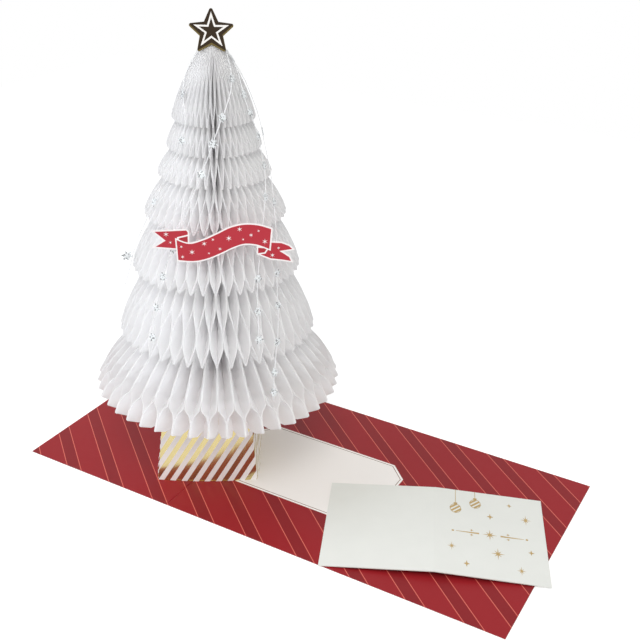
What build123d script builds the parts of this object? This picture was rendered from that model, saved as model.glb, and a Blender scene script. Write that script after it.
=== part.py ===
"""A pop-up card: a white honeycomb paper tree on a striped box, standing on its opened card.

Millimetres. The origin is the middle of the opened card's underside. +X runs along the card from
the tree to the message card, +Y from the front edge to the back, +Z up.
"""
from build123d import *
from collections import namedtuple
from math import cos, pi, radians, sin, sqrt, tan
import os

# Opened card: a short page and a long page either side of the fold
short_page = 76.0
long_page = 152.0
card_width = 108.0
card_thickness = 0.5
score_width = 0.8
score_depth = 0.2

# Tree and box: where the tree's axis stands, and which way its front looks
axis_from_front_edge = 41.0
front_turn = 31.8

# Box, a tube folded from one sheet; it stands a little to one side of the axis
box_base_side = 43.4
box_top_side = 35.5
box_height = 44.0
box_wall = 0.5
box_bow = 1.6
box_top_bow = 0.8
box_top_lean = 8.6
box_flats = 8
box_shift_across = -5.0
box_shift_back = 4.7
glue_lap_width = 8.0
base_tab_depth = 9.0

# Honeycomb tree: lip radius and height above the box for each tier, from the top one down
tier_lips = [(16.5, 114.5), (18.9, 103.5), (22.9, 92.5), (28.8, 76.0), (34.5, 53.5), (41.1, 25.4), (52.4, 0.0)]
tip_radius = 2.3
tip_rise = 29.5
leaf_count = 88
leaf_thickness = 0.4
glue_gap = 0.1
spine_radius = 5.0
tip_spine_radius = 1.2
tuck_share = 0.75
flare_share = 0.62
tall_tier = 14.0

# Star at the tip
star_radius = 9.5
star_waist = 0.48
star_tip_round = 0.7
star_thickness = 0.5
star_rise_over_tip = 3.3
star_seat_gap = 0.35

# Ribbon banner: its outline is measured from the tree's axis and from the lip that it is glued to
ribbon_thickness = 0.4
ribbon_seat_gap = 0.7
ribbon_tier = 3
ribbon_band_height = 8.5
ribbon_wave = [(-13.4, 0.2), (-6.4, -2.1), (4.4, 3.2), (13.5, 5.9), (22.6, 3.5)]
ribbon_left_tail = [(-8, 2.3), (-14.6, 3), (-22.4, 2.6), (-18.3, -0.7), (-22.6, -4.2), (-13, -4.8), (-8.2, -3)]
ribbon_right_tail = [(22.4, -1.5), (26.6, -1.7), (31.6, -4.4), (27.4, -5.6), (30.9, -9.7), (19.3, -7.7), (17.3, -6.8)]

# Message card, a folded sheet that lies as a low tent
message_length = 91.0
message_width = 55.0
message_thickness = 0.4
message_rise = 2.5
message_middle = (67.6, -11.7)
message_turn = 23.0

# Garland: threads over the tiers, with six-pointed sequins
thread_diameter = 0.4
thread_flats = 5
sequin_radius = 1.7
sequin_waist = 0.55
sequin_thickness = 0.3
sequin_seat_gap = 0.05
# Each thread's route: angle from the tree's front in degrees, radius, and height above the card.
# The runs that carry a sequin at their middle follow it.
garland = [
    (
        [(70, 5.6, 184), (52, 9.3, 178), (38, 12.3, 172.5), (22, 14.9, 166), (8, 17.6, 159), (-4, 20, 148),
         (-15, 24, 137), (-24, 29.9, 120.5), (-32, 33.2, 109), (-35, 35.6, 98), (-37, 39, 84), (-35.5, 41.2, 74)],
        (1, 3, 4, 5, 7, 8, 9, 10),
    ),
    (
        [(95, 5.6, 184), (80, 9.3, 178), (62, 12.3, 172.5), (58, 14.9, 166), (63, 17.6, 159), (68, 20, 148),
         (58, 24, 137), (44, 28.3, 127), (38, 30.5, 119), (32, 33.4, 109), (28.5, 35.6, 98), (27, 39, 84),
         (26, 40.8, 76)],
        (0, 2, 3, 4, 5, 6, 8, 9, 10, 11),
    ),
    (
        [(125, 5.6, 184), (112, 9.3, 178), (100, 12.3, 172.5), (92, 14.9, 166), (88, 17.6, 159), (82, 20, 148),
         (70, 24, 137), (54, 29.9, 120.5), (48, 33.2, 109), (44, 35.6, 98), (41, 39, 84), (35, 42.3, 70),
         (31, 45.7, 62), (29.5, 48.3, 56)],
        (4, 6, 8, 9, 10, 11, 12),
    ),
    (
        [(-100, 5.6, 184), (-85, 9.3, 178), (-65, 12.3, 172.5), (-45, 14.9, 166), (-32, 17.6, 159), (-40, 20, 148),
         (-52, 24, 137), (-62, 29.9, 120.5), (-73, 33.2, 109), (-76, 35.6, 98), (-78, 37.9, 90)],
        (2, 4, 6, 8),
    ),
]

card_length = short_page + long_page
fold_x = short_page - card_length / 2
axis_y = axis_from_front_edge - card_width / 2
stand_turn = radians(front_turn)
across = Vector(cos(stand_turn), sin(stand_turn), 0)
back = Vector(-sin(stand_turn), cos(stand_turn), 0)
stand_plane = Plane(origin=(fold_x, axis_y, card_thickness), x_dir=across, z_dir=(0, 0, 1))
tip_height = box_height + tier_lips[0][1] + tip_rise


def front_plane(distance: float) -> Plane:
    """Upright plane in front of the axis: x to the right, y up from the card, facing forwards."""
    return Plane(origin=stand_plane.origin - back * distance, x_dir=across, z_dir=-back)


def star_points(count: int, radius: float, waist: float) -> list[tuple[float, float]]:
    """Corners of a star, from its top point round to the left."""
    reach = [radius, radius * waist] * count
    return [(-r * sin(pi * i / count), r * cos(pi * i / count)) for i, r in enumerate(reach)]


def panel(*corners: Vector) -> Face:
    """Flat piece of paper between corners."""
    return Face(Wire.make_polygon(corners))


# Opened card, one flat sheet with the score line of its fold pressed into the upper face
with BuildPart() as base_card:
    with BuildSketch(Plane.XY):
        Rectangle(card_length, card_width)
    extrude(amount=card_thickness)
    with BuildSketch(Plane.XZ):
        with Locations((fold_x, card_thickness)):
            Polygon((-score_width / 2, 0), (0, -score_depth), (score_width / 2, 0), align=None)
    extrude(amount=card_width / 2, both=True, mode=Mode.SUBTRACT)

# Box: tapered tube with sides that swell a little, open above and below, its top drawn out of square
box_plane = Plane(
    origin=stand_plane.origin + across * box_shift_across + back * box_shift_back,
    x_dir=across,
    z_dir=(0, 0, 1),
)


def box_outline(side: float, bow: float, lean: float) -> list[Vector]:
    """The box from above: swelling sides of short flats; its back may lean to the right."""
    half = side / 2
    corners = [Vector(-half, -half), Vector(half, -half), Vector(half + lean, half), Vector(lean - half, half)]
    outline = []
    for corner, next_corner in zip(corners, corners[1:] + corners[:1]):
        run = next_corner - corner
        outwards = Vector(run.Y, -run.X).normalized()
        for flat in range(box_flats):
            share = flat / box_flats
            outline.append(corner + run * share + outwards * (4 * bow * share * (1 - share)))
    return outline


def box_ring(inset: float, side: float, bow: float, lean: float, height: float) -> list[Vector]:
    """The box's outline at a height, on the outer or the inner side of its wall."""
    outline = box_outline(side - 2 * inset, bow, lean)
    return [box_plane.from_local_coords(corner + Vector(0, 0, height)) for corner in outline]


box_ends = ((box_base_side, box_bow, 0.0, 0.0), (box_top_side, box_top_bow, box_top_lean, box_height))
outer_base, outer_top = [box_ring(0.0, *box_end) for box_end in box_ends]
inner_base, inner_top = [box_ring(box_wall, *box_end) for box_end in box_ends]
wall_panels = []
for i in range(len(outer_base)):
    for low, high in ((outer_base, outer_top), (inner_base, inner_top)):
        wall_panels.append(panel(low[i - 1], low[i], high[i]))
        wall_panels.append(panel(low[i - 1], high[i], high[i - 1]))
    for outer, inner in ((outer_base, inner_base), (outer_top, inner_top)):
        wall_panels.append(panel(outer[i - 1], outer[i], inner[i], inner[i - 1]))

with BuildPart() as stand_box:
    add(Solid(Shell(wall_panels)))
    # Tabs turned in at the bottom of the front and back walls, glued to the card
    with BuildSketch(box_plane):
        Polygon(*box_outline(box_base_side, box_bow, 0.0), align=None)
        Rectangle(2 * box_base_side, box_base_side - 2 * base_tab_depth, mode=Mode.SUBTRACT)
    extrude(amount=box_wall)
    # Glue lap folded in from the left wall along the inside of the back wall
    for side, bow, lean, height in box_ends:
        with BuildSketch(box_plane.offset(height)):
            with Locations((lean - side / 2 + box_wall / 2, side / 2 - box_wall)):
                Rectangle(glue_lap_width, box_wall, align=(Align.MIN, Align.MAX))
    loft(ruled=True)

# Honeycomb tree: every level is a ring of leaf edges, and between rings the leaves swing from one
# neighbour to the other, so that they meet in pairs and open into staggered cells
Ring = namedtuple("Ring", "left right valley")
leaf_pitch = 2 * pi / leaf_count


def on_tree(angle: float, radius: float, height: float) -> Vector:
    """Point in the card's frame at an angle from the tree's front, a radius and a height."""
    return stand_plane.from_local_coords(Vector(radius * sin(angle), -radius * cos(angle), height))


def leaf_ring(radius: float, height: float, spine: float, phase: int) -> Ring:
    """Edges of all leaves at one height, drawn together in pairs by the glue on that level."""
    pair_shift = max(leaf_pitch / 2 - (leaf_thickness + glue_gap) / 2 / radius, 0)
    half_leaf = min(leaf_thickness / 2 / radius, leaf_pitch / 4)
    middles = [leaf_pitch * i + phase * (-1) ** i * pair_shift for i in range(leaf_count)]
    return Ring(
        [on_tree(middle - half_leaf, radius, height) for middle in middles],
        [on_tree(middle + half_leaf, radius, height) for middle in middles],
        [on_tree(leaf_pitch * (i + 0.5), spine, height) for i in range(leaf_count)],
    )


def tucked_ring(lip: Ring, share: float) -> Ring:
    """Start of the next tier, tucked in under a lip along the same leaves."""
    left = [lip.valley[i - 1] + (lip.left[i] - lip.valley[i - 1]) * share for i in range(leaf_count)]
    right = [lip.valley[i] + (lip.right[i] - lip.valley[i]) * share for i in range(leaf_count)]
    return Ring(left, right, lip.valley)


def ring_cap(ring: Ring) -> Face:
    """Flat end of the tree across all leaf edges."""
    outline = zip(ring.left, ring.right, ring.valley)
    return panel(*[corner for leaf in outline for corner in leaf])


def band_panels(upper: Ring, lower: Ring, tuck: Ring | None) -> list[Face]:
    """Both sides and the outer edge of every leaf between two rings, with a lip's underside."""
    panels = []
    for i in range(leaf_count):
        for edge, valley in (("left", i - 1), ("right", i)):
            above, below = getattr(upper, edge)[i], getattr(lower, edge)[i]
            foot = [getattr(tuck, edge)[i]] if tuck else []
            panels.append(panel(upper.valley[valley], above, below))
            panels.append(panel(upper.valley[valley], below, *foot, lower.valley[valley]))
        panels.append(panel(upper.left[i], upper.right[i], lower.right[i]))
        panels.append(panel(upper.left[i], lower.right[i], lower.left[i]))
        if tuck:
            panels.append(panel(lower.left[i], lower.right[i], tuck.right[i], tuck.left[i]))
    return panels


phase = 1
top_radius = tip_radius
top_height = tip_height
upper_ring = leaf_ring(tip_radius, tip_height, tip_spine_radius, phase)
tree_panels = [ring_cap(upper_ring)]
for tier, (lip_radius, lip_rise) in enumerate(tier_lips):
    lip_height = box_height + lip_rise
    if top_height - lip_height > tall_tier:
        phase = -phase
        flare_radius = top_radius + flare_share * (lip_radius - top_radius)
        flare_ring = leaf_ring(flare_radius, (top_height + lip_height) / 2, spine_radius, phase)
        tree_panels += band_panels(upper_ring, flare_ring, None)
        upper_ring = flare_ring
    phase = -phase
    lip_ring = leaf_ring(lip_radius, lip_height, spine_radius, phase)
    lowest = tier == len(tier_lips) - 1
    tuck_ring = None if lowest else tucked_ring(lip_ring, tuck_share)
    tree_panels += band_panels(upper_ring, lip_ring, tuck_ring)
    upper_ring = tuck_ring
    top_radius = spine_radius + tuck_share * (lip_radius - spine_radius)
    top_height = lip_height
tree_panels.append(ring_cap(lip_ring))

with BuildPart() as honeycomb_tree:
    add(Solid(Shell(tree_panels)))

# Star of foil card, glued to the front of the tip where the notch between its lower points meets the leaves
tip_slope = flare_share * (tier_lips[0][0] - tip_radius) / (tip_rise / 2)
notch_drop = star_radius * star_waist - star_rise_over_tip

with BuildPart() as star_topper:
    star_height = tip_height + star_rise_over_tip
    with BuildSketch(front_plane(tip_radius + tip_slope * notch_drop + star_seat_gap)) as star_outline:
        with Locations((0, star_height)):
            Polygon(*star_points(5, star_radius, star_waist), align=None)
        tips = star_outline.vertices().sort_by_distance((0, star_height))[-5:]
        fillet(tips, radius=star_tip_round)
    extrude(amount=star_thickness)

# Ribbon banner: a waved band and two forked tails, cut from one sheet and glued to a tier's lip
ribbon_lip_radius, ribbon_lip_rise = tier_lips[ribbon_tier]
ribbon_plane = front_plane(ribbon_lip_radius + ribbon_seat_gap)
ribbon_plane.origin += Vector(0, 0, box_height + ribbon_lip_rise)
band_drop = Vector(0, -ribbon_band_height)

with BuildPart() as ribbon_banner:
    with BuildSketch(ribbon_plane):
        with BuildLine():
            Spline(*ribbon_wave)
            Spline(*[Vector(point) + band_drop for point in ribbon_wave])
            Line(ribbon_wave[0], Vector(ribbon_wave[0]) + band_drop)
            Line(ribbon_wave[-1], Vector(ribbon_wave[-1]) + band_drop)
        make_face()
        for tail in (ribbon_left_tail, ribbon_right_tail):
            with BuildLine():
                Spline(*tail[:3])
                Polyline(tail[2:7])
                Spline(tail[6], *tail[7:], tail[0])
            make_face()
    extrude(amount=ribbon_thickness)

# Message card: two flat halves that spring up to a low ridge at the fold
message_axis = Vector(cos(radians(message_turn)), sin(radians(message_turn)), 0)
message_plane = Plane(
    origin=(*message_middle, card_thickness),
    x_dir=message_axis,
    z_dir=message_axis.cross(Vector(0, 0, 1)),
)
half_span = sqrt((message_length / 2) ** 2 - message_rise**2)

with BuildPart() as message_card:
    with BuildSketch(message_plane):
        Polygon(
            (-half_span, 0),
            (0, message_rise),
            (half_span, 0),
            (half_span, message_thickness),
            (0, message_rise + message_thickness),
            (-half_span, message_thickness),
            align=None,
        )
    extrude(amount=message_width / 2, both=True)


Route = list[tuple[float, float, float]]


def route_points(route: Route) -> list[Vector]:
    """Corner points of a thread's route in the card's frame."""
    return [on_tree(radians(angle), radius, height) for angle, radius, height in route]


def garland_thread(route: Route) -> BuildPart:
    """Tube along a route of straight runs joined by the largest arcs that fit."""
    points = route_points(route)
    runs = [end - start for start, end in zip(points, points[1:])]
    radii = []
    for before, after in zip(runs, runs[1:]):
        half_turn = radians(before.get_angle(after)) / 2
        radii.append(0.45 * min(before.length, after.length) / tan(half_turn))
    print("thread arc radii", [round(radius, 1) for radius in radii])
    with BuildPart() as thread:
        with BuildLine():
            path = FilletPolyline(*points, radius=radii)
        with BuildSketch(Plane(origin=path @ 0, z_dir=path % 0)) as section:
            RegularPolygon(thread_diameter / 2, thread_flats)
        sweep(path=path)
    tube_volume = section.sketch.area * path.length
    print("thread length", round(path.length, 1), "volume share", round(thread.part.volume / tube_volume, 4))
    return thread


def garland_sequins(route: Route, runs: tuple[int, ...]) -> BuildPart:
    """Six-pointed sequins that lie on the outer side of a thread, at the middle of some runs."""
    points = route_points(route)
    with BuildPart() as sequins:
        for run in runs:
            along = (points[run + 1] - points[run]).normalized()
            middle = (points[run + 1] + points[run]) / 2
            from_axis = middle - stand_plane.origin
            from_axis = Vector(from_axis.X, from_axis.Y, 0)
            outwards = (from_axis - along * from_axis.dot(along)).normalized()
            seat = middle + outwards * (thread_diameter / 2 + sequin_seat_gap)
            with BuildSketch(Plane(origin=seat, x_dir=along, z_dir=outwards)):
                Polygon(*star_points(6, sequin_radius, sequin_waist), align=None)
            extrude(amount=sequin_thickness)
    return sequins


pieces = {
    "base_card": base_card,
    "stand_box": stand_box,
    "honeycomb_tree": honeycomb_tree,
    "star_topper": star_topper,
    "ribbon_banner": ribbon_banner,
    "message_card": message_card,
}
for number, (route, sequin_runs) in enumerate(garland, start=1):
    pieces[f"garland_thread_{number}"] = garland_thread(route)
    pieces[f"garland_sequins_{number}"] = garland_sequins(route, sequin_runs)

os.makedirs("parts", exist_ok=True)
for name, piece in pieces.items():
    piece.part.label = name
    export_step(piece.part, f"parts/{name}.step")
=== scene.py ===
"""Looks of a pop-up card: a white honeycomb paper tree on a foil-striped box.

Blender works in metres in the frame of the part. Sizes in the classes are in millimetres, and those of
the studio's floor and lamps in metres.
"""

import logging
import math
import random
from dataclasses import dataclass
from enum import Enum
from typing import Any, Sequence, Union

import bpy
from mathutils import Matrix, Vector


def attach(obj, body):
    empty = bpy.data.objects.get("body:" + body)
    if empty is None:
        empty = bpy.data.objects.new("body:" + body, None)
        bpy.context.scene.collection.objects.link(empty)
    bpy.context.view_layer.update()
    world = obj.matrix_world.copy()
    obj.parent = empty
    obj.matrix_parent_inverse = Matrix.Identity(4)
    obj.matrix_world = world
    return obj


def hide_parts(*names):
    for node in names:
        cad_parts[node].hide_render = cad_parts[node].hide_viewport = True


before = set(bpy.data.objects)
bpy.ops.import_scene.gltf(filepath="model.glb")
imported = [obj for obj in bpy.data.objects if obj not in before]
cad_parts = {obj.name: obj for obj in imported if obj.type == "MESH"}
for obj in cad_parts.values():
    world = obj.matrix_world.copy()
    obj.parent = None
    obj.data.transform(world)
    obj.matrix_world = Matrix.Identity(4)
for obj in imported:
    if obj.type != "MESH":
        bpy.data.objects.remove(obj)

MM = 0.001
GRAIN_DEPTH = 0.1 * MM
BODY = "root"
log = logging.getLogger("pop_up_card")

Point = tuple[float, float]
Line = tuple[Point, ...]
Triple = tuple[float, float, float]
Colour = tuple[float, float, float, float]
Term = Union["Shade", float]

WHITE: Colour = (1.0, 1.0, 1.0, 1.0)
BLACK: Colour = (0.0, 0.0, 0.0, 1.0)


def ink(red: float, green: float, blue: float) -> Colour:
    """Linear colour of a screen colour from 0 to 255.

    Args:
        red: Red part.
        green: Green part.
        blue: Blue part.

    Returns:
        Linear red, green, blue and an alpha of one.
    """
    shares = [part / 255 for part in (red, green, blue)]
    linear = [s / 12.92 if s <= 0.04045 else ((s + 0.055) / 1.055) ** 2.4 for s in shares]
    return (linear[0], linear[1], linear[2], 1.0)


def dimmed(colour: Colour, share: float) -> Colour:
    """Colour at a share of its strength."""
    red, green, blue, alpha = colour
    return (red * share, green * share, blue * share, alpha)


def ease(share: float) -> float:
    """Smooth step from 0 to 1."""
    held = min(max(share, 0.0), 1.0)
    return held * held * (3 - 2 * held)


def star_outline(count: int, *reach: float) -> list[Point]:
    """Corners of a star, anticlockwise from its top point.

    Args:
        count: How often the reaches come round.
        reach: Reach of a point, of the notch after it and of any shorter point and its notch.

    Returns:
        Corners in the star's own plane.
    """
    corners = enumerate(reach * count)
    step = math.tau / (count * len(reach))
    return [(-r * math.sin(step * i), r * math.cos(step * i)) for i, r in corners]


def flowing(points: Sequence[Point], steps: int = 6) -> list[Point]:
    """Points along a smooth line through given points.

    Args:
        points: Points to pass through.
        steps: Steps between two of them.

    Returns:
        Points along the line, both ends included.
    """
    ends = [points[0], *points, points[-1]]
    line: list[Point] = []
    for quad in zip(ends, ends[1:], ends[2:], ends[3:]):
        for step in range(steps):
            t = step / steps
            pulls = (-t + 2 * t**2 - t**3, 2 - 5 * t**2 + 3 * t**3, t + 4 * t**2 - 3 * t**3, t**3 - t**2)
            drawn = ((pull * x / 2, pull * y / 2) for pull, (x, y) in zip(pulls, quad))
            line.append(tuple(sum(parts) for parts in zip(*drawn)))
    return [*line, tuple(points[-1])]


class Shade:
    """A value in a node tree that takes part in sums."""

    def __init__(self, board: "Board", socket: bpy.types.NodeSocket) -> None:
        """Keep the tree and the socket that gives the value."""
        self.board = board
        self.socket = socket

    def __add__(self, other: Term) -> "Shade":
        """Sum."""
        return self.board.maths("ADD", self, other)

    __radd__ = __add__

    def __sub__(self, other: Term) -> "Shade":
        """Difference."""
        return self.board.maths("SUBTRACT", self, other)

    def __rsub__(self, other: Term) -> "Shade":
        """Difference from a number."""
        return self.board.maths("SUBTRACT", other, self)

    def __mul__(self, other: Term) -> "Shade":
        """Product."""
        return self.board.maths("MULTIPLY", self, other)

    __rmul__ = __mul__

    def __truediv__(self, other: Term) -> "Shade":
        """Quotient."""
        return self.board.maths("DIVIDE", self, other)

    def __gt__(self, other: Term) -> "Shade":
        """One where this is the greater."""
        return self.board.maths("GREATER_THAN", self, other)

    def __lt__(self, other: Term) -> "Shade":
        """One where this is the smaller."""
        return self.board.maths("LESS_THAN", self, other)

    def __abs__(self) -> "Shade":
        """Size without the sign."""
        return self.board.maths("ABSOLUTE", self)

    def fraction(self) -> "Shade":
        """Part after the point."""
        return self.board.maths("FRACT", self)


class Board:
    """Node tree of one finish."""

    def __init__(self, owner: Any, output: str = "ShaderNodeOutputMaterial") -> None:
        """Empty the owner's tree and give it an output.

        Args:
            owner: Material or world.
            output: Kind of its output node.
        """
        owner.use_nodes = True
        self.owner = owner
        self.tree = owner.node_tree
        self.tree.nodes.clear()
        self.output = self.node(output)

    @classmethod
    def material(cls, name: str) -> "Board":
        """Board of a new material."""
        return cls(bpy.data.materials.new(name))

    def node(self, kind: str, settings: dict | None = None, inputs: dict | None = None) -> bpy.types.Node:
        """Add a node.

        Args:
            kind: Node type.
            settings: Properties set before the inputs.
            inputs: Numbers, colours or shades for its sockets.

        Returns:
            The node.
        """
        made = self.tree.nodes.new(kind)
        for key, value in (settings or {}).items():
            setattr(made, key, value)
        for key, value in (inputs or {}).items():
            if isinstance(value, Shade):
                self.tree.links.new(value.socket, made.inputs[key])
            else:
                made.inputs[key].default_value = value
        return made

    def give(
        self, kind: str, settings: dict | None = None, inputs: dict | None = None, socket: int = 0
    ) -> Shade:
        """Add a node and return one of its outputs as a shade."""
        return Shade(self, self.node(kind, settings, inputs).outputs[socket])

    def maths(self, operation: str, *terms: Term) -> Shade:
        """Result of a maths node."""
        return self.give("ShaderNodeMath", {"operation": operation}, dict(enumerate(terms)))

    def mix(self, share: Term, first: Colour | Shade, second: Colour | Shade) -> Shade:
        """Colour that goes from the first to the second with the share."""
        return self.give("ShaderNodeMix", {"data_type": "RGBA"}, {0: share, 6: first, 7: second}, 2)

    def blend(self, share: Term, first: Shade, second: Shade) -> Shade:
        """Surface that goes from the first to the second with the share."""
        return self.give("ShaderNodeMixShader", None, {0: share, 1: first, 2: second})

    def spot(self) -> Shade:
        """Place on the object, in metres."""
        return self.give("ShaderNodeTexCoord", socket=3)

    def place(self) -> tuple[Shade, Shade, Shade]:
        """Place on the object along x, y and z, in millimetres."""
        parts = self.node("ShaderNodeSeparateXYZ", None, {0: self.spot()})
        return tuple(Shade(self, parts.outputs[i]) * (1 / MM) for i in range(3))

    def noise(self, scale: float) -> Shade:
        """Noise over the object, with about scale lumps in a metre."""
        return self.give("ShaderNodeTexNoise", None, {"Vector": self.spot(), "Scale": scale})

    def grain(self, scale: float, strength: float) -> Shade:
        """Normal of a surface with a fine grain of about scale lumps in a metre."""
        inputs = {"Height": self.noise(scale), "Strength": strength, "Distance": GRAIN_DEPTH}
        return self.give("ShaderNodeBump", None, inputs)

    def surface(self, **inputs: Any) -> Shade:
        """Plain surface; a socket's name is written with underscores."""
        named = {key.replace("_", " "): value for key, value in inputs.items()}
        return self.give("ShaderNodeBsdfPrincipled", None, named)

    def seen(self) -> Shade:
        """One for rays from the camera and for mirrored rays."""
        path = self.node("ShaderNodeLightPath")
        camera, mirrored = (Shade(self, path.outputs[name]) for name in ("Is Camera Ray", "Is Glossy Ray"))
        return self.maths("MAXIMUM", camera, mirrored)

    def close(self, shader: Shade) -> Any:
        """Join a shader to the output and return the owner."""
        self.tree.links.new(shader.socket, self.output.inputs["Surface"])
        return self.owner


@dataclass(frozen=True)
class PaperFinish:
    """Plain paper or card that may let some light through."""

    name: str
    colour: Colour
    roughness: float = 0.85
    sheen: float = 0.25
    mottle: float = 0.04
    see_through: float = 0.0
    # Painted shade: low and high heights in mm, and the strength kept above them, greying the paper upwards
    painted_top_shade: Triple | None = None
    cloud_scale: float = 140.0
    grain_scale: float = 2600.0
    grain_strength: float = 0.08

    def make(self) -> bpy.types.Material:
        """Mix the paper, with painted shade that greys it upwards between two heights and keeps it grey
        above them.

        Returns:
            Its material.
        """
        board = Board.material(self.name)
        cloud = board.noise(self.cloud_scale)
        colour = board.mix(cloud, self.colour, dimmed(self.colour, 1 - self.mottle))
        # Painted shade: the paper darkens from the low to the high height, standing in for less light on
        # the top
        if self.painted_top_shade:
            low, high, shade_strength = self.painted_top_shade
            climb = (board.place()[2] - low) / (high - low)
            share = board.maths("MINIMUM", board.maths("MAXIMUM", climb, 0.0), 1.0)
            colour = board.mix(share, colour, dimmed(self.colour, shade_strength))
        sheet = board.surface(
            Base_Color=colour,
            Roughness=self.roughness,
            Specular_IOR_Level=self.sheen,
            Normal=board.grain(self.grain_scale, self.grain_strength),
        )
        if self.see_through == 0:
            return board.close(sheet)
        through = board.give("ShaderNodeBsdfTranslucent", None, {"Color": self.colour})
        return board.close(board.blend(self.see_through, sheet, through))


@dataclass(frozen=True)
class FilmFinish:
    """Clear or silvery plastic film and filament."""

    name: str
    colour: Colour
    roughness: float
    passing: float
    glint: float = 0.0
    glint_scale: float = 1500.0
    glint_share: float = 0.3
    sheen: float = 0.7

    def make(self) -> bpy.types.Material:
        """Mix the film, with dark glints where a fine noise is low.

        Returns:
            Its material.
        """
        board = Board.material(self.name)
        glints = board.noise(self.glint_scale) < self.glint
        film = board.surface(
            Base_Color=board.mix(glints, self.colour, dimmed(self.colour, self.glint_share)),
            Roughness=self.roughness,
            Specular_IOR_Level=self.sheen,
        )
        clear = board.give("ShaderNodeBsdfTransparent", None, {"Color": WHITE})
        return board.close(board.blend(self.passing, film, clear))


class Bench:
    """Work bench: adds primitives, shapes them in edit mode and finishes them."""

    @staticmethod
    def clear() -> None:
        """Leave nothing selected."""
        if bpy.context.object and bpy.context.object.mode != "OBJECT":
            bpy.ops.object.mode_set(mode="OBJECT")
        bpy.ops.object.select_all(action="DESELECT")

    @staticmethod
    def pick(piece: bpy.types.Object) -> None:
        """Select one piece alone."""
        Bench.clear()
        piece.select_set(True)
        bpy.context.view_layer.objects.active = piece

    @staticmethod
    def edit_all() -> None:
        """Go into edit mode with everything selected."""
        bpy.ops.object.mode_set(mode="EDIT")
        bpy.ops.mesh.select_all(action="SELECT")

    @staticmethod
    def plate(outline: Sequence[Point], thickness: float, rim: float = 0.0) -> bpy.types.Object:
        """Flat plate cut to an outline, which stands up from its plane.

        Args:
            outline: Corners in the plate's plane.
            thickness: Height of the plate.
            rim: Width of a border, whose inner field takes the second material.

        Returns:
            The plate, in millimetres.
        """
        Bench.clear()
        bpy.ops.mesh.primitive_circle_add(vertices=len(outline), radius=1.0, fill_type="NGON")
        piece = bpy.context.object
        for vertex, corner in zip(piece.data.vertices, outline):
            vertex.co = (*corner, 0.0)
        piece.data.update()
        Bench.edit_all()
        if piece.data.polygons[0].normal.z < 0:
            bpy.ops.mesh.flip_normals()
        if rim > 0:
            bpy.ops.mesh.inset(thickness=rim)
        bpy.ops.object.mode_set(mode="OBJECT")
        for face in piece.data.polygons:
            face.material_index = 1 if rim > 0 and face.select else 0
        Bench.thicken(piece, thickness, 1.0)
        return piece

    @staticmethod
    def thicken(piece: bpy.types.Object, thickness: float, side: float) -> None:
        """Give a sheet its thickness.

        Args:
            piece: The sheet.
            thickness: Thickness in the sheet's own unit.
            side: One for all of it in front of the sheet, zero for half of it to each side.
        """
        Bench.pick(piece)
        wall = piece.modifiers.new("thickness", "SOLIDIFY")
        wall.thickness = thickness
        wall.offset = side
        bpy.ops.object.modifier_apply(modifier=wall.name)

    @staticmethod
    def copy(piece: bpy.types.Object) -> bpy.types.Object:
        """Copy a piece.

        Args:
            piece: What to copy.

        Returns:
            The copy, with its own mesh.
        """
        twin = piece.copy()
        twin.data = piece.data.copy()
        bpy.context.collection.objects.link(twin)
        return twin

    @staticmethod
    def put(piece: bpy.types.Object, spot: Matrix) -> bpy.types.Object:
        """Move a piece made in millimetres to its place in the frame.

        Args:
            piece: The piece.
            spot: Place, turn and size in metres.

        Returns:
            The same piece, with its place in its mesh.
        """
        Bench.pick(piece)
        piece.matrix_world = spot
        bpy.ops.object.transform_apply(location=True, rotation=True, scale=True)
        return piece

    @staticmethod
    def join(pieces: Sequence[bpy.types.Object], name: str) -> bpy.types.Object:
        """Make one object of several.

        Args:
            pieces: Objects to join.
            name: Name of the result.

        Returns:
            The joined object.
        """
        Bench.pick(pieces[0])
        for piece in pieces:
            piece.select_set(True)
        bpy.ops.object.join()
        joined = bpy.context.object
        joined.name = name
        joined.data.name = name
        return joined

    @staticmethod
    def dress(piece: bpy.types.Object, *materials: bpy.types.Material) -> None:
        """Give a piece its materials in order."""
        if piece.data.materials:
            piece.data.materials.clear()
        for material in materials:
            piece.data.materials.append(material)

    @staticmethod
    def hand_over(piece: bpy.types.Object, slot: str, *nodes: str) -> None:
        """Tell the frame about a finished piece.

        Args:
            piece: The piece.
            slot: Material slot that its finish belongs to; not used.
            nodes: Solids that it stands for.
        """
        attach(piece, BODY)
        if nodes:
            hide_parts(*nodes)
        log.info("%s: %d faces", piece.name, len(getattr(piece.data, "polygons", ())))

    @staticmethod
    def repaint(node: str, material: bpy.types.Material) -> None:
        """Give a solid of the frame a better material."""
        Bench.dress(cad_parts[node], material)
        log.info("%s: repainted", node)


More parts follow.
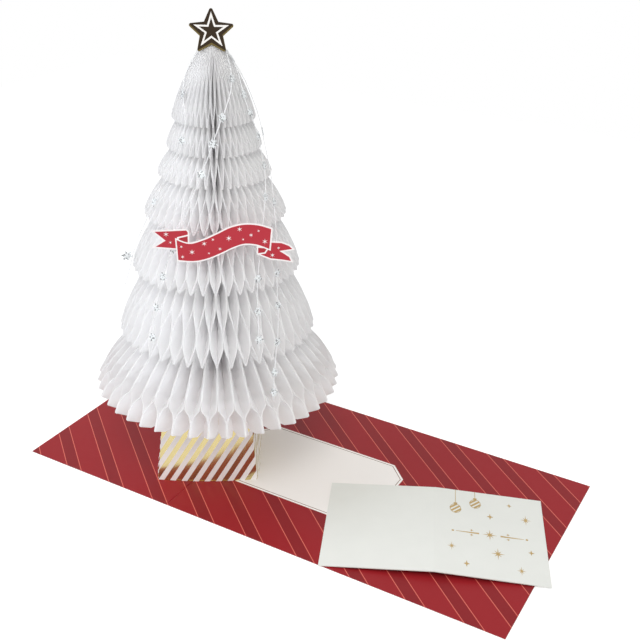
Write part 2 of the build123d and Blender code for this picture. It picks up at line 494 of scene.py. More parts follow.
@dataclass(frozen=True)
class Stand:
    """Where the tree stands on the card, and which way its front looks."""

    x: float = -38.0
    y: float = -13.0
    z: float = 0.5
    turn: float = 31.8

    @property
    def foot(self) -> Vector:
        """Foot of the axis on the card."""
        return Vector((self.x, self.y, self.z))

    @property
    def across(self) -> Vector:
        """Way to the right, seen from the front."""
        return Vector((math.cos(math.radians(self.turn)), math.sin(math.radians(self.turn)), 0.0))

    @property
    def back(self) -> Vector:
        """Way from the front to the back."""
        return Vector((-self.across.y, self.across.x, 0.0))

    def point(self, angle: float, radius: float, height: float) -> Vector:
        """Point round the axis.

        Args:
            angle: Angle from the front to the right, in radians.
            radius: Distance from the axis.
            height: Height above the card.

        Returns:
            The point in metres.
        """
        aside = self.across * (radius * math.sin(angle)) - self.back * (radius * math.cos(angle))
        return (self.foot + aside + Vector((0.0, 0.0, height))) * MM

    def front(self, distance: float, height: float) -> Matrix:
        """Upright plane in front of the axis, for pieces made in millimetres.

        Args:
            distance: Distance in front of the axis.
            height: Height of the plane's origin above the card.

        Returns:
            Matrix with x to the right, y up and z towards the front.
        """
        axes = Matrix((self.across, Vector((0.0, 0.0, 1.0)), -self.back)).transposed().to_4x4()
        spot = (self.foot - self.back * distance + Vector((0.0, 0.0, height))) * MM
        return Matrix.Translation(spot) @ axes @ Matrix.Scale(MM, 4)


@dataclass
class BaseCard:
    """Opened card with slanting bands and a label for writing on."""

    top: float = 0.5
    band_pitch: float = 15.375
    band_shift: float = -98.67
    band_half: float = 2.65
    line_half: float = 0.17
    slant: Point = (0.644, 0.765)
    label_low: Point = (-36.0, -24.7)
    label_high: Point = (40.7, 22.85)
    label_cut: float = 8.0
    border: float = 1.1
    inner_line: float = 0.3
    gloss: float = 0.42
    gloss_change: float = 0.1
    gloss_scale: float = 300.0
    sheen: float = 0.2
    grain_scale: float = 2200.0
    grain_strength: float = 0.05
    red: Colour = ink(149, 30, 36)
    dark_red: Colour = ink(134, 28, 33)
    line: Colour = ink(214, 108, 94)
    field: Colour = ink(247, 243, 239)
    rim: Colour = ink(252, 246, 242)
    brown: Colour = ink(120, 92, 66)

    def label_depth(self, board: Board, x: Shade, y: Shade) -> Shade:
        """Measure inwards from the label's outline, with its cut corners.

        Args:
            board: Node tree of the card's print.
            x: Place along the card.
            y: Place across the card.

        Returns:
            Depth inside the outline, below zero outside it.
        """
        middle = [(low + high) / 2 for low, high in zip(self.label_low, self.label_high)]
        half = [(high - low) / 2 for low, high in zip(self.label_low, self.label_high)]
        aside, along = abs(x - middle[0]), abs(y - middle[1])
        slanted = (half[0] + half[1] - self.label_cut - aside - along) * math.sqrt(0.5)
        straight = board.maths("MINIMUM", half[0] - aside, half[1] - along)
        return board.maths("MINIMUM", straight, slanted)

    def build(self) -> None:
        """Print the card."""
        board = Board.material("printed_card_look")
        x, y, z = board.place()
        across = x * self.slant[0] + y * self.slant[1] - self.band_shift
        off_band = abs((across / self.band_pitch + 0.5).fraction() - 0.5) * self.band_pitch
        print_red = board.mix(off_band < self.band_half, self.red, self.dark_red)
        striped = board.mix(abs(off_band - self.band_half) < self.line_half, print_red, self.line)
        depth = self.label_depth(board, x, y)
        label = board.mix(depth > self.border, self.rim, self.field)
        lined = board.mix(abs(depth - self.border) < self.inner_line / 2, label, self.brown)
        printed = board.mix(depth > 0.0, striped, lined)
        colour = board.mix(z > self.top / 2, self.rim, printed)
        Bench.repaint("base_card", board.close(board.surface(
            Base_Color=colour,
            Roughness=self.gloss + (board.noise(self.gloss_scale) - 0.5) * self.gloss_change,
            Specular_IOR_Level=self.sheen,
            Normal=board.grain(self.grain_scale, self.grain_strength),
        )))


@dataclass
class StandBox:
    """Folded box with slanting bars of gold foil."""

    stand: Stand
    shift: Point = (-5.0, 4.7)
    base_half: float = 21.7
    top_half: float = 17.75
    height: float = 44.0
    wall: float = 0.5
    bow: float = 1.6
    top_bow: float = 0.8
    top_lean: float = 8.6
    rise: float = 58.4
    pitch: float = 5.05
    start: float = 4.0
    foil_share: float = 0.5
    foil_roughness: float = 0.16
    card_roughness: float = 0.6
    sheen: float = 0.3
    gold: Colour = (0.61, 0.51, 0.25, 1.0)
    white: Colour = ink(248, 244, 240)

    def build(self) -> None:
        """Foil the box."""
        board = Board.material("striped_card_look")
        x, y, z = board.place()
        middle = self.stand.foot + self.stand.across * self.shift[0] + self.stand.back * self.shift[1]
        across, back = self.stand.across, self.stand.back
        v = (x - middle.x) * back.x + (y - middle.y) * back.y
        w = z - self.stand.z
        half = self.base_half - w * ((self.base_half - self.top_half) / self.height)
        bow = self.bow - w * ((self.bow - self.top_bow) / self.height)
        lean = (v / half + 1.0) * w * (self.top_lean / self.height / 2)
        u = (x - middle.x) * across.x + (y - middle.y) * across.y - lean
        on_front = abs(u) < (v * -1.0)
        on_back = abs(u) < v
        on_right = abs(v) < u
        on_left = abs(v) < (u * -1.0)
        front_and_back = on_front * u + on_back * (half * 4.0 - u)
        along = front_and_back + on_right * (half * 2.0 + v) + on_left * (half * 6.0 - v)
        slope = math.radians(self.rise)
        bar = (along - w / math.tan(slope) + self.start) / self.pitch
        gilt = bar.fraction() < self.foil_share
        far = board.maths("MAXIMUM", abs(u), abs(v))
        near = board.maths("MINIMUM", abs(u), abs(v)) / half
        outer = far > half + (1.0 - near * near) * bow - self.wall / 2
        foil = gilt * outer
        Bench.repaint("stand_box", board.close(board.surface(
            Base_Color=board.mix(foil, self.white, self.gold),
            Metallic=foil,
            Roughness=self.card_roughness - foil * (self.card_roughness - self.foil_roughness),
            Specular_IOR_Level=self.sheen,
        )))


@dataclass
class StarTopper:
    """Star of dark gold foil card with a white line."""

    stand: Stand
    middle_height: float = 191.8
    points: int = 5
    edge: Point = (0.418, 0.908)
    rim_level: float = 9.0
    line_edge: Point = (0.3, 0.954)
    line_outer: float = 6.9
    line_inner: float = 4.75
    foil_roughness: float = 0.22
    line_roughness: float = 0.62
    foil: Colour = (0.05, 0.036, 0.024, 1.0)
    edge_gold: Colour = (0.17, 0.13, 0.05, 1.0)
    white: Colour = ink(252, 250, 246)

    def build(self) -> None:
        """Foil the star."""
        board = Board.material("foil_card_look")
        x, y, z = board.place()
        across = self.stand.across
        aside = (x - self.stand.x) * across.x + (y - self.stand.y) * across.y
        up = z - (self.stand.z + self.middle_height)
        point_angle = math.tau / self.points
        turn = board.maths("ARCTAN2", aside, up) / point_angle
        fold = abs((turn + 0.5).fraction() - 0.5) * point_angle
        reach = board.maths("SQRT", aside * aside + up * up)
        ahead, beside = reach * board.maths("COSINE", fold), reach * board.maths("SINE", fold)
        level = ahead + beside * (self.edge[1] / self.edge[0])
        line_level = ahead + beside * (self.line_edge[1] / self.line_edge[0])
        line = (line_level > self.line_inner) * (line_level < self.line_outer)
        metal = board.mix(level > self.rim_level, self.foil, self.edge_gold)
        Bench.repaint("star_topper", board.close(board.surface(
            Base_Color=board.mix(line, metal, self.white),
            Metallic=1.0 - line,
            Roughness=self.foil_roughness + line * (self.line_roughness - self.foil_roughness),
        )))


class Spark(Enum):
    """Reaches of an ornament's points and notches in one quarter of it."""

    RAYED = (1.0, 0.22, 0.7, 0.22)
    PLAIN = (1.0, 0.34)


@dataclass(frozen=True)
class Sparkle:
    """Starry ornament: its spot on the message card and its reach along and across it."""

    u: float
    v: float
    wide: float
    tall: float
    kind: Spark = Spark.RAYED

    def outline(self) -> list[Point]:
        """Corners round the ornament's own middle."""
        return [(x * self.wide, y * self.tall) for x, y in star_outline(4, *self.kind.value)]


@dataclass
class MessageCard:
    """Folded message card with ornaments in gold on its right half."""

    middle: Point = (67.6, -11.7)
    seat: float = 0.5
    turn: float = 23.0
    half_length: float = 45.5
    rise: float = 2.5
    thickness: float = 0.4
    print_lift: float = 0.015
    print_height: float = 0.03
    paper: PaperFinish = PaperFinish("message_paper_look", ink(230, 231, 225))
    gold: PaperFinish = PaperFinish("gold_print_look", ink(196, 166, 108), 0.45, 0.4, 0.2)
    baubles: Line = ((8.5, 14.4), (16.9, 19.1))
    bauble_reach: Point = (2.4, 3.1)
    bauble_line: float = 0.22
    bauble_steps: int = 32
    cap_half: float = 0.75
    cap_height: float = 0.9
    stripes: Triple = (-0.62, 0.0, 0.62)
    stripe_half: float = 0.17
    stripe_slope: float = 38.0
    stripe_share: float = 0.94
    string_top: float = 27.4
    string_width: float = 0.22
    sparkles: tuple[Sparkle, ...] = (
        Sparkle(25.4, -11.9, 2.8, 3.6),
        Sparkle(38.0, 12.3, 2.2, 3.4),
        Sparkle(6.8, -10.6, 1.8, 2.7),
        Sparkle(34.3, -20.4, 1.8, 2.7),
        Sparkle(31.5, 20.9, 1.1, 1.5, Spark.PLAIN),
        Sparkle(23.0, 11.5, 1.4, 2.0, Spark.PLAIN),
        Sparkle(38.9, -8.6, 1.3, 1.7, Spark.PLAIN),
        Sparkle(12.7, -20.3, 1.3, 2.0, Spark.PLAIN),
    )
    divider_middle: Point = (22.5, -0.6)
    divider_start: float = 4.4
    divider_reach: float = 14.0
    divider_taper: Point = (0.45, 0.1)
    divider_star: Sparkle = Sparkle(0.0, 0.0, 3.0, 3.4)
    dot_gap: float = 1.2
    dot_reach: Point = (0.6, 0.5)
    bead: Sparkle = Sparkle(7.5, 1.5, 0.8, 0.9, Spark.PLAIN)

    def face(self, u: float, v: float) -> Matrix:
        """Spot on the right half, for pieces made in millimetres.

        Args:
            u: Distance from the fold along the card.
            v: Distance from the card's middle line towards the back.

        Returns:
            Matrix with x along the card and z out of the paper.
        """
        dip = math.asin(self.rise / self.half_length)
        spin = Matrix.Rotation(math.radians(self.turn), 4, "Z") @ Matrix.Rotation(dip, 4, "Y")
        ridge = Vector((*self.middle, self.seat + self.rise + self.thickness))
        spot = ridge + spin @ Vector((u, v, self.print_lift))
        return Matrix.Translation(spot * MM) @ spin @ Matrix.Scale(MM, 4)

    def strip(self, low: Point, high: Point) -> list[Point]:
        """Corners of an upright rectangle."""
        return [low, (high[0], low[1]), high, (low[0], high[1])]

    def stamp(self, outline: Sequence[Point], u: float, v: float) -> bpy.types.Object:
        """Thin plate of gold print at a spot on the right half."""
        return Bench.put(Bench.plate(outline, self.print_height), self.face(u, v))

    def bauble(self) -> list[list[Point]]:
        """Draw one bauble round its own middle.

        Returns:
            Outlines of its thin ring, its slanting stripes and its cap.
        """
        wide, tall = self.bauble_reach
        thin = 1 - self.bauble_line / wide
        angles = [math.tau * i / self.bauble_steps for i in range(self.bauble_steps + 1)]
        rim = [(wide * math.cos(angle), tall * math.sin(angle)) for angle in angles]
        inner = [(x * thin, y * thin) for x, y in rim]
        outlines = [list(corners) for corners in zip(rim, rim[1:], inner[1:], inner)]
        slope = Matrix.Rotation(math.radians(self.stripe_slope), 2)
        for offset in self.stripes:
            reach = math.sqrt(1 - offset * offset) * self.stripe_share
            low, high = offset - self.stripe_half, offset + self.stripe_half
            bar = [slope @ Vector(corner) for corner in self.strip((-reach, low), (reach, high))]
            outlines.append([(corner.x * wide, corner.y * tall) for corner in bar])
        outlines.append(self.strip((-self.cap_half, tall), (self.cap_half, tall + self.cap_height)))
        return outlines

    def divider(self) -> list[list[Point]]:
        """Draw the ornament across the middle.

        Returns:
            Outlines of a star, of tapering lines to both sides of it, and of their dots and beads.
        """
        start, end = self.divider_start, self.divider_reach
        thick, fine = self.divider_taper
        taper = [(start, -thick), (end, -fine), (end, fine), (start, thick)]
        dot = star_outline(4, *self.dot_reach)
        bead = self.bead.outline()
        outlines = [self.divider_star.outline()]
        for side in (-1, 1):
            outlines.append([(side * x, y) for x, y in taper])
            outlines.append([(side * (end + self.dot_gap) + x, y) for x, y in dot])
            for aside in (self.bead.v, -self.bead.v):
                outlines.append([(side * self.bead.u + x, y + aside) for x, y in bead])
        return outlines

    def build(self) -> None:
        """Lay the paper's finish and the gold ornaments."""
        Bench.repaint("message_card", self.paper.make())
        half = self.string_width / 2
        string_start = self.bauble_reach[1] + self.cap_height
        prints = []
        for u, v in self.baubles:
            string = self.strip((-half, string_start), (half, self.string_top - v))
            prints += [self.stamp(outline, u, v) for outline in (*self.bauble(), string)]
        for sparkle in self.sparkles:
            prints.append(self.stamp(sparkle.outline(), sparkle.u, sparkle.v))
        for outline in self.divider():
            prints.append(self.stamp(outline, *self.divider_middle))
        ornaments = Bench.join(prints, "message_ornaments")
        Bench.dress(ornaments, self.gold.make())
        Bench.hand_over(ornaments, "message_paper")


class Layer(Enum):
    """Height of a ribbon plate over the ribbon's back, and its thickness."""

    TAIL = (0.0, 0.2)
    FOLD = (0.1, 0.2)
    BAND = (0.16, 0.22)
    FLAKE = (0.365, 0.03)

    @property
    def lift(self) -> float:
        """Height over the ribbon's back."""
        return self.value[0]

    @property
    def thickness(self) -> float:
        """Thickness of the plate."""
        return self.value[1]


@dataclass
class RibbonBanner:
    """Red ribbon with a white border, folds in a darker red of painted shade, forked tails and snowflakes.
    """

    stand: Stand
    distance: float = 29.5
    height: float = 120.0
    border: float = 0.55
    band_top: Line = (
        (-13.8, 0.1), (-8.8, -1.7), (-3.6, -0.3), (1.8, 2.3),
        (7.0, 5.0), (12.4, 6.3), (17.8, 6.0), (23.0, 4.4),
    )
    band_bottom: Line = (
        (-13.4, -9.4), (-6.9, -9.8), (-1.5, -8.6), (3.8, -6.2),
        (8.0, -4.0), (12.4, -2.5), (17.2, -2.9), (22.2, -4.8),
    )
    left_tail: Line = (
        (-8.4, 2.6), (-9.3, 3.7), (-14.5, 3.4), (-22.8, 3.0), (-18.3, -1.0),
        (-22.9, -4.0), (-12.9, -4.8), (-12.9, -0.6), (-8.5, 0.6),
    )
    left_fold: Line = ((-13.1, 0.4), (-8.5, 1.6), (-8.5, -2.2), (-12.6, -2.2))
    right_tail: Line = (
        (21.6, -0.9), (26.4, -1.1), (29.4, -2.3), (31.6, -4.4), (27.0, -5.2), (29.7, -7.0),
        (30.9, -9.7), (26.5, -9.0), (22.0, -8.5), (17.5, -6.6), (17.5, -4.0),
    )
    right_fold: Line = ((16.9, -3.0), (21.8, -3.4), (20.2, -6.0), (16.9, -6.5))
    flake_waist: float = 0.24
    flakes: tuple[Triple, ...] = (
        (-17.1, 1.6, 1.15), (-15.6, -1.7, 0.7), (-11.6, -3.4, 0.7), (-2.9, -2.1, 1.1), (0.4, -0.4, 0.7),
        (10.5, 3.9, 1.1), (3.0, -4.2, 0.8), (-11.2, -7.6, 0.8), (20.0, -1.0, 1.2), (25.2, -3.6, 0.7),
        (22.9, -6.6, 1.0), (-7.6, -5.6, 1.2), (6.4, 0.2, 1.25), (14.8, 1.6, 0.9), (-1.2, -6.0, 0.6),
        (11.8, -0.2, 0.6), (17.6, 3.3, 0.6),
    )
    red: PaperFinish = PaperFinish("ribbon_red_look", ink(187, 45, 59), 0.5, 0.35, 0.03)
    # Painted shade: the folds take a darker copy of the ribbon's red
    fold_shade_red: PaperFinish = PaperFinish("ribbon_fold_shade_look", ink(175, 40, 53), 0.5, 0.35, 0.03)
    white: PaperFinish = PaperFinish("ribbon_border_look", ink(252, 246, 246), 0.5, 0.35, 0.02)

    def place(self, piece: bpy.types.Object, layer: Layer) -> bpy.types.Object:
        """Put a plate at its height in the ribbon."""
        front = self.stand.front(self.distance, self.height)
        return Bench.put(piece, front @ Matrix.Translation((0.0, 0.0, layer.lift)))

    def band(self) -> bpy.types.Object:
        """Lay the waving band as a strip between its upper and lower lines.

        Returns:
            The band, whose inner field takes the second material.
        """
        upper, lower = flowing(self.band_top), flowing(self.band_bottom)
        for line in (upper, lower):
            for end, inward in ((0, 1), (len(line) - 1, len(line) - 2)):
                a, b = Vector(line[end]), Vector(line[inward])
                line.insert(max(end, inward), tuple(a + (b - a).normalized() * self.border))
        columns, rows = len(upper) - 1, 3
        Bench.clear()
        bpy.ops.mesh.primitive_grid_add(x_subdivisions=columns, y_subdivisions=rows, size=1.0)
        strip = bpy.context.object
        for vertex in strip.data.vertices:
            column, row = round((vertex.co.x + 0.5) * columns), round((vertex.co.y + 0.5) * rows)
            low, high = Vector(lower[column]), Vector(upper[column])
            width = (high - low).length
            rise = (0.0, self.border, width - self.border, width)[row]
            vertex.co = (*(low + (high - low) * (rise / width)), 0.0)
        for number, face in enumerate(strip.data.polygons):
            row, column = divmod(number, columns)
            face.material_index = 1 if row == 1 and 0 < column < columns - 1 else 0
        Bench.thicken(strip, Layer.BAND.thickness, 1.0)
        return self.place(strip, Layer.BAND)

    def build(self) -> None:
        """Cut, layer and colour the ribbon."""
        red, fold_shade_red, white = self.red.make(), self.fold_shade_red.make(), self.white.make()
        plates = [self.band()]
        Bench.dress(plates[0], white, red)
        for outline, layer, inner in (
            (self.left_tail, Layer.TAIL, red),
            (self.right_tail, Layer.TAIL, red),
            (self.left_fold, Layer.FOLD, fold_shade_red),
            (self.right_fold, Layer.FOLD, fold_shade_red),
        ):
            plate = self.place(Bench.plate(outline, layer.thickness, self.border), layer)
            Bench.dress(plate, white, inner)
            plates.append(plate)
        for x, y, radius in self.flakes:
            flake = [(x + a, y + b) for a, b in star_outline(6, radius, radius * self.flake_waist)]
            plate = self.place(Bench.plate(flake, Layer.FLAKE.thickness), Layer.FLAKE)
            Bench.dress(plate, white)
            plates.append(plate)
        ribbon = Bench.join(plates, "ribbon_plates")
        Bench.hand_over(ribbon, "ribbon_card", "ribbon_banner")


class Swing(Enum):
    """Shares of a tier's drop at which its leaves lean fully to one side, 1, or the other, -1."""

    LOW = ((0.0, 1), (0.2, 1), (1.0, -1))
    TALL = ((0.0, 1), (0.22, 1), (0.58, -1), (0.7, -1), (1.0, 1))
    LAST = ((0.0, 1), (0.59, 1), (0.75, -1), (1.0, -1), (1.3, 1))


@dataclass(frozen=True)
class Tier:
    """One tier of the tree: radius at its top and at its lip, and their heights above the card."""

    start: float
    radius: float
    top: float
    lip: float

    @property
    def drop(self) -> float:
        """Height of the tier."""
        return self.top - self.lip


@dataclass
class HoneycombTree:
    """Tiered tree of honeycomb paper: leaves round a spine, glued in staggered pairs."""

    stand: Stand
    box_height: float = 44.0
    lips: Line = (
        (16.5, 114.5), (18.9, 103.5), (22.9, 92.5), (28.8, 76.0),
        (34.5, 53.5), (41.1, 25.4), (52.4, 0.0),
    )
    tip_radius: float = 2.3
    tip_rise: float = 29.5
    leaf_count: int = 88
    leaf_thickness: float = 0.3
    glue: float = 0.01
    spine: float = 5.0
    tip_spine: float = 1.2
    tuck: float = 0.75
    bulge: float = 0.48
    tall: float = 14.0
    lip_round: float = 1.0
    lip_rows: Point = (0.12, 0.45)
    row_step: float = 2.3
    fewest_rows: int = 3
    weld: float = 0.002
    seed: int = 7
    loose: Point = (0.985, 1.0)
    sag: float = 0.12
    trim: float = 0.006
    firm_radius: float = 8.0
    give_way: float = 20.0
    crease: float = 40.0
    columns: tuple[float, ...] = (0.0, 0.45, 0.65, 0.8, 0.92, 1.0)
    underside: tuple[float, ...] = (0.0, 0.0, 1.5, 2.4, 1.8, 0.2)
    glue_slope: float = 0.7
    # Its last three numbers paint shade that greys the upper tiers between 125 and 165 mm up
    paper: PaperFinish = PaperFinish(
        "honeycomb_paper_look", ink(254.4, 254.3, 254.4), 1.0, 0.0, 0.0, 0.9, (125.0, 165.0, 0.78)
    )

    def tiers(self) -> list[Tier]:
        """Work out the tiers.

        Returns:
            Tiers from the tip down.
        """
        start, top = self.tip_radius, self.box_height + self.lips[0][1] + self.tip_rise
        rows = []
        for radius, rise in self.lips:
            lip = self.box_height + rise
            rows.append(Tier(start, radius, top, lip))
            start, top = self.spine + self.tuck * (radius - self.spine), lip
        return rows

    def swing_keys(self) -> list[Point]:
        """Work out where the leaves lean fully to one neighbour or the other.

        Returns:
            Heights from the tip down, each with its lean of 1 or -1.
        """
        keys: list[Point] = []
        side = 1.0
        tiers = self.tiers()
        kinds = [Swing.TALL if tier.drop > self.tall else Swing.LOW for tier in tiers[:-1]]
        for tier, kind in zip(tiers, (*kinds, Swing.LAST)):
            keys += [(tier.top - share * tier.drop, side * way) for share, way in kind.value]
            side = keys[-1][1]
        return keys

    def swing(self, height: float, keys: Sequence[Point]) -> float:
        """Find the lean of a leaf.

        Args:
            height: Height above the card.
            keys: Heights from the tip down, each with its lean.

        Returns:
            Lean from -1 to 1.
        """
        for (high, before), (low, after) in zip(keys, keys[1:]):
            if low <= height <= high and high > low:
                return before + (after - before) * ease((high - height) / (high - low))
        return keys[0][1] if height > keys[0][0] else keys[-1][1]

    def tier_sheet(self, tier: Tier, first: bool, last: bool) -> bpy.types.Object:
        """Cut the part of a leaf in one tier.

        Args:
            tier: The tier.
            first: Whether it is the one at the tip.
            last: Whether it is the lowest.

        Returns:
            Sheet with x as the distance from the axis and y as the depth from its edge.
        """
        rows = max(self.fewest_rows, round((tier.drop - self.lip_round) / self.row_step))
        heights = [0.0, *(share * self.lip_round for share in self.lip_rows)]
        heights += [self.lip_round + (tier.drop - self.lip_round) * i / rows for i in range(rows + 1)]
        across, up = len(self.columns) - 1, len(heights) - 1
        Bench.clear()
        bpy.ops.mesh.primitive_grid_add(x_subdivisions=across, y_subdivisions=up, size=1.0)
        sheet = bpy.context.object
        for vertex in sheet.data.vertices:
            column = round((vertex.co.x + 0.5) * across)
            above = heights[round((vertex.co.y + 0.5) * up)]
            t = 1 - above / tier.drop
            edge = tier.start + (tier.radius - tier.start) * ((1 + self.bulge) * t - self.bulge * t * t)
            if above < self.lip_round:
                edge -= self.lip_round - math.sqrt(self.lip_round**2 - (self.lip_round - above) ** 2)
            core = self.tip_spine + (self.spine - self.tip_spine) * min(2 * t, 1.0) if first else self.spine
            sunk = self.underside[column] if last and above == 0 else 0.0
            reach = core + (edge - core) * self.columns[column]
            vertex.co = (reach, edge - reach, tier.lip + above - sunk)
        return sheet

    def flat_leaf(self) -> bpy.types.Object:
        """Join the tiers of one leaf.

        Returns:
            The leaf before it is bent.
        """
        tiers = self.tiers()
        sheets = [self.tier_sheet(tier, tier is tiers[0], tier is tiers[-1]) for tier in tiers]
        leaf = Bench.join(sheets, "leaf")
        Bench.edit_all()
        bpy.ops.mesh.remove_doubles(threshold=self.weld)
        bpy.ops.object.mode_set(mode="OBJECT")
        return leaf

    def bend(
        self, leaf: bpy.types.Object, number: int, keys: Sequence[Point], dice: random.Random
    ) -> None:
        """Swing one leaf to its neighbours along glue lines that rise inwards, and turn it to its place.

        Args:
            leaf: The leaf.
            number: Its number round the spine.
            keys: Heights from the tip down, each with its lean.
            dice: Source of the small differences between leaves.
        """
        pitch = math.tau / self.leaf_count
        way = -1 if number % 2 else 1
        loose = dice.uniform(*self.loose)
        sag = dice.uniform(-self.sag, self.sag)
        trim = dice.uniform(0.0, self.trim)
        for vertex in leaf.data.vertices:
            radius, depth, height = vertex.co
            reach = max(pitch / 2 - (self.leaf_thickness / 2 + self.glue) / radius, 0.0)
            lean = self.swing(height - self.glue_slope * depth, keys)
            angle = pitch * number + way * loose * reach * lean
            outward = ease((radius - self.firm_radius) / self.give_way)
            vertex.co = self.stand.point(angle, radius * (1 - trim * outward), height + sag * outward)

    def build(self) -> None:
        """Model a leaf, set all leaves round the spine and give them paper's thickness."""
        leaf = self.flat_leaf()
        keys = self.swing_keys()
        dice = random.Random(self.seed)
        leaves = [leaf] + [Bench.copy(leaf) for _ in range(self.leaf_count - 1)]
        for number, each in enumerate(leaves):
            self.bend(each, number, keys, dice)
        tree = Bench.join(leaves, "honeycomb_leaves")
        Bench.thicken(tree, self.leaf_thickness * MM, 0.0)
        bpy.ops.object.shade_smooth_by_angle(angle=math.radians(self.crease))
        Bench.dress(tree, self.paper.make())
        Bench.hand_over(tree, "honeycomb_paper", "honeycomb_tree")


@dataclass(frozen=True)
class Thread:
    """One garland thread, in the order in which it hangs.

    It follows the drape that all threads share, with a turn in degrees for each point, and then its own
    end, whose points have a turn, a radius and a height. Some of its runs carry a sequin, and the flags
    are those whose sequin stands out.
    """

    length: float
    turns: tuple[float, ...]
    end: tuple[Triple, ...]
    runs: tuple[int, ...]
    flags: tuple[int, ...] = ()


@dataclass
class Garland:
    """Clear threads with six-pointed sequins of silvery film."""

    stand: Stand
    drape: Line = (
        (5.6, 184.0), (9.3, 178.0), (12.3, 172.5), (14.9, 166.0), (17.6, 159.0), (20.0, 148.0),
        (24.0, 137.0), (29.9, 120.5), (33.2, 109.0), (35.6, 98.0), (39.0, 84.0),
    )
    threads: tuple[Thread, ...] = (
        Thread(
            length=121.7,
            turns=(70, 52, 38, 22, 8, -4, -15, -24, -32, -35, -37),
            end=((-35.5, 41.2, 74),),
            runs=(1, 3, 4, 5, 7, 8, 9, 10),
        ),
        Thread(
            length=118.7,
            turns=(95, 80, 62, 58, 63, 68, 58),
            end=(
                (44, 28.3, 127), (38, 30.5, 119), (32, 33.4, 109),
                (28.5, 35.6, 98), (27, 39, 84), (26, 40.8, 76),
            ),
            runs=(0, 2, 3, 4, 5, 6, 8, 9, 10, 11),
        ),
        Thread(
            length=140.9,
            turns=(125, 112, 100, 92, 88, 82, 70, 54, 48, 44, 41),
            end=((35, 42.3, 70), (31, 45.7, 62), (29.5, 48.3, 56)),
            runs=(4, 6, 8, 9, 10, 11, 12),
        ),
        Thread(
            length=106.2,
            turns=(-100, -85, -65, -45, -32, -40, -52, -62, -73, -76),
            end=((-78, 37.9, 90),),
            runs=(2, 4, 6, 8),
            flags=(8,),
        ),
    )
    diameter: float = 0.4
    round_steps: int = 2
    curve_steps: int = 8
    curve_order: int = 3
    sequin_radius: float = 2.0
    sequin_waist: float = 0.55
    sequin_lift: float = 0.25
    flag_lift: float = 2.2
    flag_size: float = 1.3
    sequin_dome: float = 0.2
    sequin_thickness: float = 0.1
    filament: FilmFinish = FilmFinish("thread_look", ink(248, 249, 250), 0.3, 0.3)
    film: FilmFinish = FilmFinish("sequin_look", ink(246, 250, 252), 0.12, 0.15, 0.44)

    def points(self, thread: Thread) -> list[Vector]:
        """Route of a thread in metres."""
        route = (*((turn, *spot) for turn, spot in zip(thread.turns, self.drape)), *thread.end)
        return [self.stand.point(math.radians(turn), radius, height) for turn, radius, height in route]

    def cord(self, points: Sequence[Vector], number: int) -> bpy.types.Object:
        """Draw a thread as a smooth curve along its route.

        Args:
            points: Route of the thread.
            number: Number of the thread.

        Returns:
            The thread.
        """
        line = bpy.data.curves.new(f"thread_{number}", "CURVE")
        line.dimensions = "3D"
        line.bevel_depth = self.diameter / 2 * MM
        line.bevel_resolution = self.round_steps
        line.resolution_u = self.curve_steps
        spline = line.splines.new("NURBS")
        spline.points.add(len(points) - 1)
        for knot, point in zip(spline.points, points):
            knot.co = (*point, 1.0)
        spline.order_u = self.curve_order
        spline.use_endpoint_u = True
        piece = bpy.data.objects.new(f"thread_{number}", line)
        bpy.context.collection.objects.link(piece)
        return piece

    def sequin(self) -> bpy.types.Object:
        """Shape one sequin.

        Returns:
            A star whose middle is drawn up into a shallow dome.
        """
        Bench.clear()
        outline = star_outline(6, self.sequin_radius, self.sequin_radius * self.sequin_waist)
        bpy.ops.mesh.primitive_circle_add(vertices=len(outline), radius=1.0, fill_type="TRIFAN")
        piece = bpy.context.object
        rim = [vertex for vertex in piece.data.vertices if vertex.co.length > 0.5]
        hub = next(vertex for vertex in piece.data.vertices if vertex.co.length < 0.5)
        hub.co = (0.0, 0.0, self.sequin_dome)
        for vertex, corner in zip(rim, outline):
            vertex.co = (*corner, 0.0)
        Bench.edit_all()
        bpy.ops.mesh.normals_make_consistent(inside=False)
        bpy.ops.object.mode_set(mode="OBJECT")
        Bench.thicken(piece, self.sequin_thickness, 0.0)
        return piece

    def seat(self, points: Sequence[Vector], run: int, flag: bool) -> Matrix:
        """Spot of a sequin at the middle of a run.

        Args:
            points: Route of the thread.
            run: Number of the run.
            flag: Whether the sequin stands out from the thread and doesn't lie on its outer side.

        Returns:
            Place, turn and size of the sequin.
        """
        along = (points[run + 1] - points[run]).normalized()
        middle = (points[run + 1] + points[run]) / 2
        from_axis = middle - self.stand.foot * MM
        from_axis.z = 0.0
        outwards = (from_axis - along * from_axis.dot(along)).normalized()
        facing = outwards.cross(along) if flag else outwards
        lift, size = (self.flag_lift, self.flag_size) if flag else (self.sequin_lift, 1.0)
        axes = Matrix((along, facing.cross(along), facing)).transposed().to_4x4()
        return Matrix.Translation(middle + outwards * lift * MM) @ axes @ Matrix.Scale(MM * size, 4)

    def build(self) -> None:
        """Hang the threads and fix their sequins."""
        filament, film = self.filament.make(), self.film.make()
        pattern = self.sequin()
        for number, thread in enumerate(self.threads, start=1):
            points = self.points(thread)
            cord = self.cord(points, number)
            Bench.dress(cord, filament)
            seats = [self.seat(points, run, run in thread.flags) for run in thread.runs]
            copies = [Bench.put(Bench.copy(pattern), seat) for seat in seats]
            sequins = Bench.join(copies, f"sequins_{number}")
            Bench.dress(sequins, film)
            Bench.hand_over(sequins, "sequin_film", f"garland_sequins_{number}")
            Bench.hand_over(cord, "thread", f"garland_thread_{number}")
        bpy.data.objects.remove(pattern)


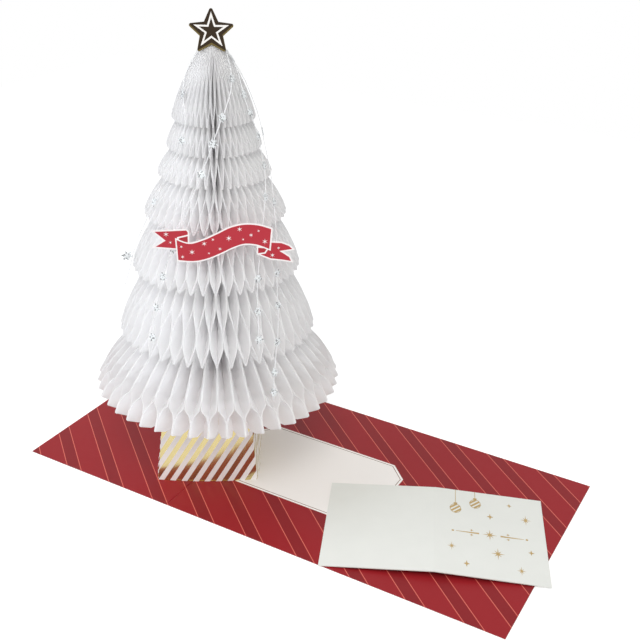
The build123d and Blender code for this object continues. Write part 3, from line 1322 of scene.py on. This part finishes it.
@dataclass(frozen=True)
class Lamp:
    """Square lamp with its spot, power, size and tint."""

    name: str
    spot: Triple
    power: float
    size: float
    tint: Triple

    def build(self, aim: Vector) -> None:
        """Hang the lamp so that it looks at a point.

        Args:
            aim: The point.
        """
        light = bpy.data.lights.new(self.name, "AREA")
        light.energy = self.power
        light.size = self.size
        light.color = self.tint
        lamp = bpy.data.objects.new(self.name, light)
        bpy.context.collection.objects.link(lamp)
        place = Vector(self.spot)
        turn = (aim - place).to_track_quat("-Z", "Y").to_matrix().to_4x4()
        lamp.matrix_world = Matrix.Translation(place) @ turn


@dataclass
class Studio:
    """White floor, soft light from the left and the front, and the camera."""

    floor_size: float = 1.2
    floor_drop: float = 0.0001
    floor_colour: Colour = (0.82, 0.82, 0.82, 1.0)
    floor_lift: Colour = (0.42, 0.42, 0.42, 1.0)
    ambient: float = 0.58
    lamps: tuple[Lamp, ...] = (
        Lamp("key_light", (-0.9, -0.6, 1.2), 7.0, 0.9, (0.95, 1.0, 1.11)),
        Lamp("fill_light", (0.45, -0.85, 1.2), 9.0, 0.7, (1.01, 1.0, 0.97)),
    )
    aim: Triple = (-0.02, -0.01, 0.08)
    camera_spot: Triple = (184.9, -330.7, 268.5)
    yaw: float = -28.64
    pitch: float = 26.97
    roll: float = -1.69
    lens: float = 57.29
    sensor_width: float = 36.0
    bounces: int = 48

    def floor(self) -> None:
        """White floor that keeps the shadow of the card."""
        Bench.clear()
        bpy.ops.mesh.primitive_plane_add(size=self.floor_size, location=(0.0, 0.0, -self.floor_drop))
        ground = bpy.context.object
        ground.name = "floor"
        board = Board.material("floor_look")
        glow = board.mix(board.seen(), BLACK, self.floor_lift)
        Bench.dress(ground, board.close(board.surface(
            Base_Color=self.floor_colour, Roughness=1.0, Specular_IOR_Level=0.0,
            Emission_Color=glow, Emission_Strength=1.0,
        )))

    def sky(self) -> None:
        """Even light from all round, which the camera sees as white."""
        world = bpy.data.worlds.new("studio")
        bpy.context.scene.world = world
        board = Board(world, "ShaderNodeOutputWorld")
        dim, white = (
            board.give("ShaderNodeBackground", None, {"Color": WHITE, "Strength": strength})
            for strength in (self.ambient, 1.0)
        )
        board.close(board.blend(board.seen(), dim, white))

    def camera(self) -> None:
        """Camera as it stood for the photograph."""
        yaw, pitch, roll = (math.radians(angle) for angle in (self.yaw, self.pitch, self.roll))
        ahead = Vector((math.sin(yaw) * math.cos(pitch), math.cos(yaw) * math.cos(pitch), -math.sin(pitch)))
        level = Vector((math.cos(yaw), -math.sin(yaw), 0.0))
        down = ahead.cross(level)
        right = level * math.cos(roll) + down * math.sin(roll)
        below = down * math.cos(roll) - level * math.sin(roll)
        lens = bpy.data.cameras.new("camera")
        lens.lens = self.lens
        lens.sensor_width = self.sensor_width
        camera = bpy.data.objects.new("camera", lens)
        bpy.context.collection.objects.link(camera)
        turn = Matrix((right, -below, -ahead)).transposed().to_4x4()
        camera.matrix_world = Matrix.Translation(Vector(self.camera_spot) * MM) @ turn
        bpy.context.scene.camera = camera

    def build(self) -> None:
        """Set the floor, the light and the camera."""
        self.floor()
        self.sky()
        for lamp in self.lamps:
            lamp.build(Vector(self.aim))
        self.camera()
        scene = bpy.context.scene
        scene.view_settings.view_transform = "Standard"
        # White paper cells hand light on many times
        scene.cycles.max_bounces = self.bounces
        scene.cycles.diffuse_bounces = self.bounces
        scene.cycles.transmission_bounces = self.bounces


def main() -> None:
    """Dress the part and light it."""
    logging.basicConfig(level=logging.INFO, format="%(message)s")
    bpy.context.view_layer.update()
    stand = Stand()
    for piece in (
        BaseCard(),
        StandBox(stand),
        StarTopper(stand),
        MessageCard(),
        RibbonBanner(stand),
        HoneycombTree(stand),
        Garland(stand),
        Studio(),
    ):
        piece.build()


if __name__ == "__main__":
    main()
